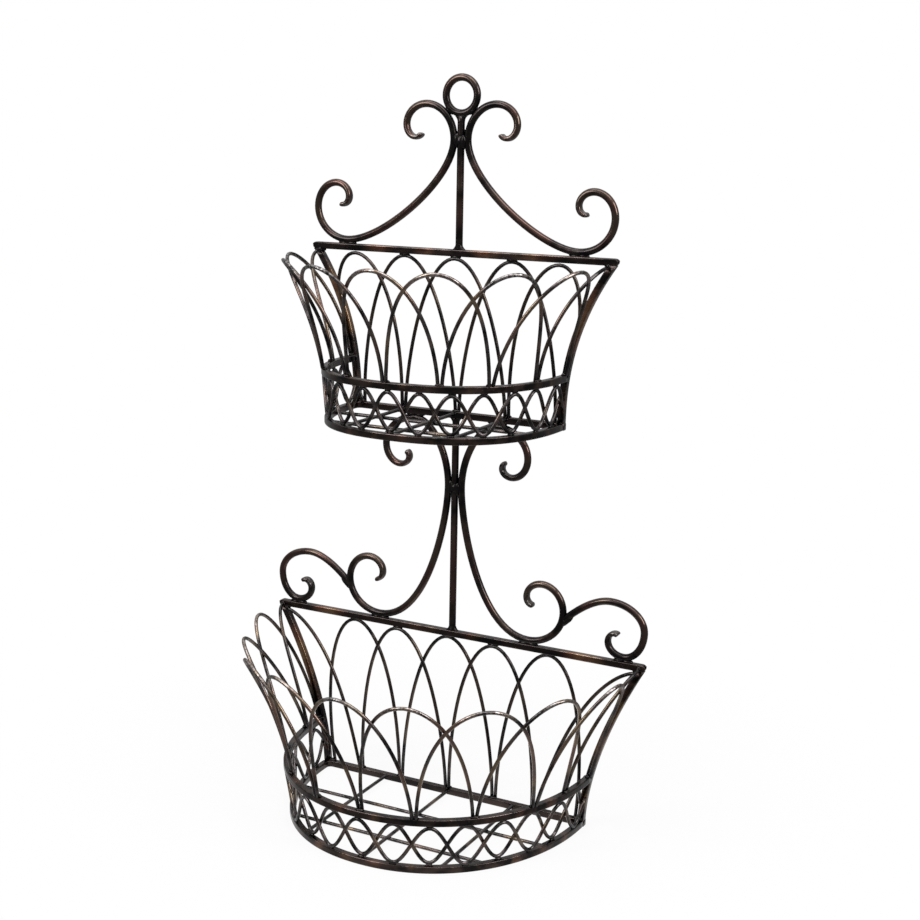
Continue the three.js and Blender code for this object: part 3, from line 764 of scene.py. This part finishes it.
def add_back_hoops(b, beads):
    last = len(b.back_crowns) + 1
    for index, crown_x in enumerate(b.back_crowns, start=1):
        points = back_hoop(b, index, crown_x, 0, 1, HOOP_POWER)
        add_wires(f"{b.name}_back_hoop_{index}", [wire(points)])
        crown = Vector((crown_x, layer_of(index) / 2, b.rail_under - BACK_CROWN_BEAD.off))
        beads.append(bead(crown, X, Z, BACK_CROWN_BEAD))
    for side_name, side in SIDES:
        index = 0 if side < 0 else last
        if b.back_end_crowns:
            crown_x = b.back_end_crowns[0 if side < 0 else 1]
            points = back_hoop(b, index, crown_x, 0, 1, HOOP_POWER)
            node = f"{b.name}_back_cut_hoop_{side_name}"
        else:
            crown_x = side * post_x(b, b.back_crown_z)
            start, stop = (0.5, 1) if side < 0 else (0, 0.5)
            points = back_hoop(b, index, crown_x, start, stop, HALF_HOOP_POWER)
            node = f"{b.name}_back_half_hoop_{side_name}"
        kept = inside_posts(points, b)
        add_wires(node, [wire(kept)])
        top = kept[0] if side < 0 else kept[-1]
        beads.append(bead(top, Z, X, BACK_END_BEAD))
    for index in range(last + 1):
        place = Vector((back_foot_x(b, index), 0, b.base_top + BACK_FOOT_BEAD.rise))
        beads.append(bead(place, X, Z, BACK_FOOT_BEAD))


def add_lattice(b, beads):
    low = b.base_top + SEAT + WIRE / 2
    high = b.band_z - BAR_HALF - SEAT - WIRE / 2
    reach = int(b.half_waves / 2)
    for layer_name, sign in (("outer", 1), ("inner", -1)):
        points = []
        for t in shares(round(LATTICE_STEPS * b.half_waves)):
            height = (1 + sign * math.cos(math.pi * b.half_waves * (t - 0.5))) / 2
            points.append(wall_point(b, t, lerp(low, high, height), sign * LAYER))
        points[0].y = points[-1].y = POST_FRONT
        add_wires(f"{b.name}_lattice_{layer_name}", [wire(points)])
        for wave in range(-reach, reach + 1):
            u = 0.5 + wave / b.half_waves
            is_high = (wave % 2 == 0) == (sign > 0)
            under_band = b.band_z - BAR_HALF - LATTICE_BEAD.off
            z = under_band if is_high else b.base_top + LATTICE_BEAD.off
            outwards = outwards_at(b, u, z)
            place = wall_point(b, u, z, sign * LAYER * LATTICE_BEAD_SHARE)
            beads.append(bead(place, Z.cross(outwards), Z, LATTICE_BEAD))


def add_floor(b, beads):
    low_z = b.base_z - BAR_HALF + SEAT + WIRE / 2
    high_z = low_z + WIRE - FLOOR_BITE
    parts = []
    longs = []
    for place in FLOOR_LONG_WIRES:
        y = -place * b.base_depth
        share = ((-y - WALL_START) / (b.base_depth - WALL_START)) ** (b.fullness / 2)
        end = abs(plan_point(b, math.asin(share), b.base_z).x)
        longs.append(y)
        parts.append(wire([Vector((lerp(-end, end, t), y, low_z)) for t in shares(FLOOR_LONG_STEPS)]))
        tip_x = end - BAR_HALF - FLOOR_TIP_BEAD.off
        for side in (-1, 1):
            tip = Vector((side * tip_x, y, low_z + FLOOR_TIP_BEAD.rise))
            beads.append(bead(tip, Y, Z, FLOOR_TIP_BEAD))
    for place in FLOOR_CROSS_WIRES:
        x = place * b.base_half
        angle = math.acos(abs(place) ** (b.fullness / 2))
        end = plan_point(b, angle, b.base_z).y
        parts.append(wire([Vector((x, lerp(0, end, t), high_z)) for t in shares(FLOOR_CROSS_STEPS)]))
        for y in (-BAR_HALF - FLOOR_END_BEAD.off, end + BAR_HALF + FLOOR_END_BEAD.off):
            beads.append(bead(Vector((x, y, high_z)), X, Z, FLOOR_END_BEAD))
        for y in longs:
            beads.append(bead(Vector((x, y, (low_z + high_z) / 2)), X, Z, FLOOR_CROSS_BEAD))
    add_wires(f"{b.name}_floor_grid", parts)


def add_basket(b):
    front_beads = []
    back_beads = []
    add_rail(b)
    add_posts(b, back_beads)
    add_rings(b, front_beads)
    add_front_hoops(b, front_beads)
    add_back_hoops(b, back_beads)
    add_lattice(b, front_beads)
    add_floor(b, back_beads)
    add_piece(f"{b.name}_front_welds", front_beads, "weld")
    add_piece(f"{b.name}_back_welds", back_beads, "weld")


# Building the scrolls


def stem(low, high):
    points = [Vector((0, 0, lerp(low, high, t))) for t in shares(STEM_STEPS)]
    return tube(points, ROD_SECTION, fixed=Y)


def add_waist_beads(z, beads):
    """Weld metal in the valleys between a stem and its two scrolls, and a lump across the front."""
    for side, drop in WAIST_DROPS:
        x = side * ROD_PITCH / 2
        beads.append(bead(Vector((x, WAIST_BACK_BEAD.off, z)), Z, Y, WAIST_BACK_BEAD))
        beads.append(bead(Vector((x, -WAIST_FRONT_BEAD.off, z - drop)), Z, Y, WAIST_FRONT_BEAD))
    middle = Vector((WAIST_LUMP.aside, -WAIST_LUMP.off, z + WAIST_LUMP.rise))
    beads.append(bead(middle, X, Z, WAIST_LUMP))
    welds.append(Vector((0, 0, z + WAIST_DARK)))
    welds.append(Vector((0, 0, z - WAIST_DARK)))


def add_contact_beads(x, z, beads):
    """Weld metal that fills the gap on both sides of where a curl touches a bar."""
    for side in (-1, 1):
        beads.append(bead(Vector((x + side * CONTACT_BEAD.aside, 0, z)), X, Z, CONTACT_BEAD))


def add_crest(upper):
    """The crest scrolls, the ring that rests between their heads, and the stem below it."""
    beads = []
    scroll = crest_scroll(upper)
    waist_z = upper.rail_z + CREST.waist_rise
    near = [p for p in scroll if p.x < RING_REACH and p.z > waist_z]
    ring_z = max(p.z + math.sqrt(RING_REACH**2 - p.x**2) for p in near)
    centre = flat(0, ring_z)
    touch = min(near, key=lambda p: abs((p - centre).length - RING_REACH))
    place = centre.lerp(touch, RING_BEAD_SHARE)
    seam = Y.cross(touch - centre).normalized()
    for side_name, side in SIDES:
        add_rod(f"crest_scroll_{side_name}", forged_rod(mirrored(scroll, side), True))
        add_contact_beads(side * CREST.contact, upper.rail_top + CONTACT_BEAD.off, beads)
        along = flat(side * seam.x, seam.z)
        beads.append(bead(flat(side * place.x, place.z), along, Y, RING_BEAD))
    rings = []
    for i in range(RING_STEPS):
        turn = 2 * math.pi * i / RING_STEPS
        out = flat(math.cos(turn), math.sin(turn))
        rings.append([centre + out * (RING_RADIUS + u) + Y * v for u, v in ROD_SECTION])
    add_rod("hanging_ring", skin(rings, closed=True))
    stem_top = ring_z - RING_RADIUS - ROD / 2
    add_rod("crest_stem", stem(upper.rail_top - BITE, stem_top + 2 * BITE))
    beads.append(collar(upper.rail_top, Z, STEM_FOOT_COLLAR))
    beads.append(collar(stem_top, -Z, UNDER_RING_COLLAR))
    add_waist_beads(waist_z, beads)
    add_piece("crest_welds", beads, "weld")


def add_middle(lower, upper):
    """The scrolls and the stem between the baskets; the shoulder scrolls' tails rest on the middle ones."""
    beads = []
    scroll = middle_scroll(lower, upper)
    waist_z = lower.rail_z + MIDDLE.waist_rise
    outermost = max((p for p in scroll if p.z < waist_z), key=lambda p: p.x)
    rest = flat(outermost.x, outermost.z - SHOULDER.tail_drop)
    shoulder = shoulder_scroll(lower, rest)
    shoulder[-1] = shoulder[-1].lerp(shoulder[-2], 0.5)
    under = upper.base_z - BAR_HALF
    for side_name, side in SIDES:
        add_rod(f"middle_scroll_{side_name}", forged_rod(mirrored(scroll, side), True))
        add_rod(f"shoulder_scroll_{side_name}", forged_rod(mirrored(shoulder, side), False))
        for x in (MIDDLE.contact, SHOULDER.contact):
            add_contact_beads(side * x, lower.rail_top + CONTACT_BEAD.off, beads)
        add_contact_beads(side * MIDDLE.top_contact, under - CONTACT_BEAD.off, beads)
        below_tail = flat(side * (rest.x + TAIL_BEAD.aside), rest.z + TAIL_BEAD.rise)
        along = flat(side * TAIL_SLOPE[0], TAIL_SLOPE[1])
        beads.append(bead(below_tail, along, Y, TAIL_BEAD))
    add_rod("middle_stem", stem(lower.rail_top - BITE, under + BITE))
    beads.append(collar(lower.rail_top, Z, STEM_FOOT_COLLAR))
    beads.append(collar(under, -Z, UNDER_BASE_COLLAR))
    add_waist_beads(waist_z, beads)
    add_piece("middle_welds", beads, "weld")


# Finishes


class Nodes:
    """Short names for adding and joining the nodes of one material or world."""

    def __init__(self, owner):
        owner.use_nodes = True
        self.tree = owner.node_tree
        self.tree.nodes.clear()

    def add(self, kind, values=None, **settings):
        node = self.tree.nodes.new(kind)
        for key, value in settings.items():
            setattr(node, key, value)
        for key, value in (values or {}).items():
            self.feed(node.inputs[key], value)
        return node

    def feed(self, socket, value):
        if isinstance(value, bpy.types.NodeSocket):
            self.tree.links.new(value, socket)
        else:
            socket.default_value = value

    def math(self, operation, a, b):
        return self.add("ShaderNodeMath", {0: a, 1: b}, operation=operation).outputs[0]

    def span(self, value, low, high, to_low=0.0, to_high=1.0):
        values = {"Value": value, "From Min": low, "From Max": high, "To Min": to_low, "To Max": to_high}
        node = self.add("ShaderNodeMapRange", values, interpolation_type="SMOOTHSTEP")
        return node.outputs["Result"]

    def noise(self, place, scale, detail=3.0, roughness=0.55, distortion=0.0):
        values = {
            "Vector": place, "Scale": scale, "Detail": detail,
            "Roughness": roughness, "Distortion": distortion,
        }
        return self.add("ShaderNodeTexNoise", values).outputs["Fac"]

    def mix(self, share, a, b):
        """Sockets 6 and 7 are the mix node's two colours, and output 2 is the mixed one."""
        node = self.add("ShaderNodeMix", data_type="RGBA")
        for socket, value in zip((node.inputs["Factor"], node.inputs[6], node.inputs[7]), (share, a, b)):
            self.feed(socket, value)
        return node.outputs[2]

    def attribute(self, name):
        return self.add("ShaderNodeAttribute", attribute_name=name).outputs["Fac"]

    def rays(self):
        """Rays that see the plain background, glossy rays and diffuse rays."""
        path = self.add("ShaderNodeLightPath").outputs
        seeing = self.math("MAXIMUM", path["Is Camera Ray"], path["Is Transmission Ray"])
        return seeing, path["Is Glossy Ray"], path["Is Diffuse Ray"]

    def finish(self, kind, shader):
        self.feed(self.add(kind).inputs["Surface"], shader.outputs[0])


def colour(r, g, b):
    return (r, g, b, 1.0)


def bronze(name, dark, brown, copper, gold, pale, cover, rub, back_shade_share, wear_and_highlight_strength, roughness, streak=1.0):
    """Worn antique bronze: black near welds, rubbed copper and gold between them, pale specks, and pale
    wear and painted highlight on edges, tips and crowns.

    cover is how much is rubbed, rub how strongly, and back_shade_share the share of the rub and of the
    brown blotches kept at the planter's back, which darkens the back as painted shade; wear is how pale
    edges, tips and crowns get, as wear and painted highlight, and a streak below 1 draws blotches out along
    x.
    """
    material = bpy.data.materials.new(name)
    n = Nodes(material)
    place = n.add("ShaderNodeTexCoord").outputs["Object"]
    stretch = {0: place, 1: (streak, 1, 1)}
    drawn = n.add("ShaderNodeVectorMath", stretch, operation="MULTIPLY").outputs[0]
    patches = n.noise(place, PATCH_SCALE, detail=2, roughness=0.5, distortion=0.5)
    tints = n.noise(place, TINT_SCALE, detail=1)
    blotches = n.noise(drawn, BLOTCH_SCALE)
    fine = n.noise(drawn, FINE_SCALE)
    grain = n.noise(place, GRAIN_SCALE, detail=2)
    specks = n.noise(place, SPECK_SCALE, detail=2)
    raggedness = n.math("MULTIPLY", n.math("SUBTRACT", blotches, 0.5), RAGGED)
    ragged = n.math("ADD", n.attribute("from_weld"), raggedness)
    # Painted shade: rub and brown blotches fade from the front to the back, so the back renders darker.
    depth = n.add("ShaderNodeSeparateXYZ", {0: place}).outputs["Y"]
    back_shade = n.span(depth, BACK_SHADE_FROM, BACK_SHADE_TO, 1.0, back_shade_share)
    rubbed = n.math("MULTIPLY", n.span(patches, 0.6 - cover, 0.8 - cover), n.span(ragged, 8, 32))
    rubbed = n.math("MULTIPLY", rubbed, n.span(fine, 0.3, 0.6, 0.75 * rub, rub))
    rubbed = n.math("MULTIPLY", rubbed, back_shade)
    # Pale edges, forged tips and hoop crowns: partly wear, partly a painted highlight.
    wear_and_highlight = n.math("MULTIPLY", n.attribute("edge"), n.span(fine, 0.4, 0.6))
    wear_and_highlight = n.math("MULTIPLY", wear_and_highlight, n.span(ragged, 3, 22, 0.15 * wear_and_highlight_strength, wear_and_highlight_strength))
    speck = n.math("MULTIPLY", n.span(specks, 0.68, 0.74), n.span(tints, 0.5, 0.62, 0.05, 0.7))
    # Fewer brown blotches towards the back: painted shade.
    shade = n.mix(n.math("MULTIPLY", n.span(blotches, 0.35, 0.68), back_shade), dark, brown)
    shade = n.mix(rubbed, shade, n.mix(n.span(tints, 0.42, 0.58), copper, gold))
    shade = n.mix(wear_and_highlight, shade, pale)
    shade = n.mix(speck, shade, pale)
    rough = n.span(blotches, 0.3, 0.7, roughness - 0.05, roughness + 0.07)
    rough = n.math("ADD", rough, n.math("MULTIPLY", speck, 0.15))
    height = n.math("ADD", n.math("MULTIPLY", fine, 0.7), n.math("MULTIPLY", grain, 0.3))
    bump = n.add("ShaderNodeBump", {"Strength": 0.08, "Distance": 0.00012, "Height": height})
    shader = n.add("ShaderNodeBsdfPrincipled", {
        "Base Color": shade, "Metallic": 1.0, "Roughness": rough, "Normal": bump.outputs["Normal"],
        "Coat Weight": 0.3, "Coat Roughness": 0.16,
    })
    n.finish("ShaderNodeOutputMaterial", shader)
    return material


FINISHES = {
    "bar_finish": bronze(
        "bronze_bar", dark=colour(0.006, 0.0044, 0.0043), brown=colour(0.060, 0.0400, 0.0345),
        copper=colour(0.34, 0.150, 0.088), gold=colour(0.44, 0.260, 0.126),
        pale=colour(0.28, 0.245, 0.23),
        cover=0.28, rub=0.9, back_shade_share=0.68, wear_and_highlight_strength=0.4, roughness=0.22, streak=0.3,
    ),
    "rod_finish": bronze(
        "bronze_rod", dark=colour(0.0062, 0.0038, 0.0037), brown=colour(0.036, 0.0275, 0.0260),
        copper=colour(0.100, 0.052, 0.041), gold=colour(0.098, 0.066, 0.049),
        pale=colour(0.18, 0.166, 0.158),
        cover=0.28, rub=0.9, back_shade_share=0.9, wear_and_highlight_strength=0.7, roughness=0.2,
    ),
    "wire_finish": bronze(
        "bronze_wire", dark=colour(0.0078, 0.0063, 0.0064), brown=colour(0.118, 0.101, 0.100),
        copper=colour(0.210, 0.132, 0.100), gold=colour(0.285, 0.205, 0.128),
        pale=colour(0.46, 0.43, 0.42),
        cover=0.2, rub=0.9, back_shade_share=0.4, wear_and_highlight_strength=0.6, roughness=0.24,
    ),
    "weld": bronze(
        "weld_metal", dark=colour(0.009, 0.0070, 0.0069), brown=colour(0.034, 0.0285, 0.027),
        copper=colour(0.034, 0.0275, 0.025), gold=colour(0.034, 0.0275, 0.025),
        pale=colour(0.12, 0.105, 0.10),
        cover=0.2, rub=0.3, back_shade_share=0.3, wear_and_highlight_strength=0.5, roughness=0.25,
    ),
}
WELD_SLOT = "rod_finish"


# Making the pieces


def add_object(name, data):
    item = bpy.data.objects.new(name, data)
    bpy.context.collection.objects.link(item)
    return item


def add_values(mesh, name, values):
    mesh.attributes.new(name, "FLOAT", "POINT").data.foreach_set("value", values)


def make_pieces():
    """Makes every piece, once all welds are known, and gives its corners their distance to a weld."""
    tree = kdtree.KDTree(len(welds))
    for index, place in enumerate(welds):
        tree.insert(place, index)
    tree.balance()
    for piece in pieces:
        corners, faces, edges = [], [], []
        for part_corners, part_faces, part_edges in piece.parts:
            first = len(corners)
            corners += part_corners
            edges += part_edges
            faces += [tuple(first + i for i in face) for face in part_faces]
        mesh = bpy.data.meshes.new(piece.name)
        mesh.from_pydata([corner * MM for corner in corners], [], faces)
        is_weld = piece.finish == "weld"
        add_values(mesh, "from_weld", [WELD_DISTANCE if is_weld else tree.find(c)[2] for c in corners])
        add_values(mesh, "edge", edges)
        shell = bmesh.new()
        shell.from_mesh(mesh)
        bmesh.ops.recalc_face_normals(shell, faces=shell.faces)
        shell.to_mesh(mesh)
        shell.free()
        mesh.shade_smooth()
        mesh.materials.append(FINISHES[piece.finish])
        item = add_object(piece.name, mesh)
        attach(item, "root")
        WELD_SLOT if is_weld else piece.finish
        if piece.node:
            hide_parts(piece.node)


# Studio


def add_floor_sheet():
    """White paper that keeps the object's shadow; for gloss it fades to the room's brightness."""
    mesh = bpy.data.meshes.new("floor")
    size = FLOOR_HALF
    corners = [(-size, -size, 0), (size, -size, 0), (size, size, 0), (-size, size, 0)]
    mesh.from_pydata(corners, [], [(0, 1, 2, 3)])
    material = bpy.data.materials.new("floor_paper")
    n = Nodes(material)
    place = n.add("ShaderNodeTexCoord").outputs["Object"]
    away = n.add("ShaderNodeVectorMath", {0: place}, operation="LENGTH").outputs["Value"]
    fibre = n.noise(place, 700, detail=4)
    tone = n.mix(n.span(fibre, 0.3, 0.7), colour(0.93, 0.93, 0.93), colour(0.95, 0.95, 0.95))
    paper = n.add("ShaderNodeBsdfDiffuse", {"Color": tone})
    seeing, gloss, _ = n.rays()
    table = n.math("MULTIPLY", gloss, n.span(away, 0.0, TABLE_FADE, 1.0, ROOM_GLOSS))
    strength = n.math("MAXIMUM", seeing, table)
    glow = n.add("ShaderNodeEmission", {"Color": colour(1, 1, 1), "Strength": strength})
    white = n.math("MULTIPLY", seeing, n.span(away, *SHADOW_FADE, SHADOW_WHITE, 1.0))
    share = n.math("MAXIMUM", gloss, white)
    mixed = n.add("ShaderNodeMixShader", {0: share, 1: paper.outputs[0], 2: glow.outputs[0]})
    n.finish("ShaderNodeOutputMaterial", mixed)
    mesh.materials.append(material)
    add_object("floor", mesh)


def add_world():
    """White behind the object; for gloss it fades from white overhead to the room's brightness."""
    world = bpy.data.worlds.new("studio")
    bpy.context.scene.world = world
    n = Nodes(world)
    seeing, gloss, diffuse = n.rays()
    towards = n.add("ShaderNodeTexCoord").outputs["Generated"]
    height = n.add("ShaderNodeSeparateXYZ", {0: towards}).outputs["Z"]
    sky = n.math("MULTIPLY", gloss, n.span(height, *SKY_FADE, ROOM_GLOSS, 1.0))
    light = n.math("MAXIMUM", sky, n.math("MULTIPLY", diffuse, SKY_LIGHT))
    strength = n.math("MAXIMUM", seeing, light)
    back = n.add("ShaderNodeBackground", {"Color": colour(1, 1, 1), "Strength": strength})
    n.finish("ShaderNodeOutputWorld", back)


def add_lamp(name, place, target, wide, high, power):
    light = bpy.data.lights.new(name, "AREA")
    light.shape = "RECTANGLE"
    light.size = wide
    light.size_y = high
    light.energy = power
    lamp = add_object(name, light)
    lamp.location = place
    lamp.rotation_euler = (Vector(target) - Vector(place)).to_track_quat("-Z", "Y").to_euler()


def add_camera():
    data = bpy.data.cameras.new("camera")
    data.sensor_fit = "HORIZONTAL"
    data.sensor_width = CAMERA_SENSOR
    data.lens = CAMERA_SENSOR * FOCAL_PIXELS / PHOTO_PIXELS
    data.clip_start, data.clip_end = CAMERA_CLIP
    camera = add_object("camera", data)
    turn = Matrix.Rotation(math.radians(CAMERA_YAW), 4, "Z")
    tilt = Matrix.Rotation(math.radians(90 - CAMERA_PITCH), 4, "X")
    roll = Matrix.Rotation(math.radians(CAMERA_ROLL), 4, "Z")
    camera.matrix_world = Matrix.Translation(CAMERA_PLACE) @ turn @ tilt @ roll
    bpy.context.scene.camera = camera


lower = settle("lower", BAR_HALF, LOWER)
upper = settle("upper", lower.rail_z + TIER_RISE, UPPER)
add_basket(lower)
add_middle(lower, upper)
add_basket(upper)
add_crest(upper)
make_pieces()
add_floor_sheet()
add_world()
for lamp_name, settings in LAMPS.items():
    add_lamp(lamp_name, *settings)
add_camera()
bpy.context.scene.view_settings.view_transform = "Standard"
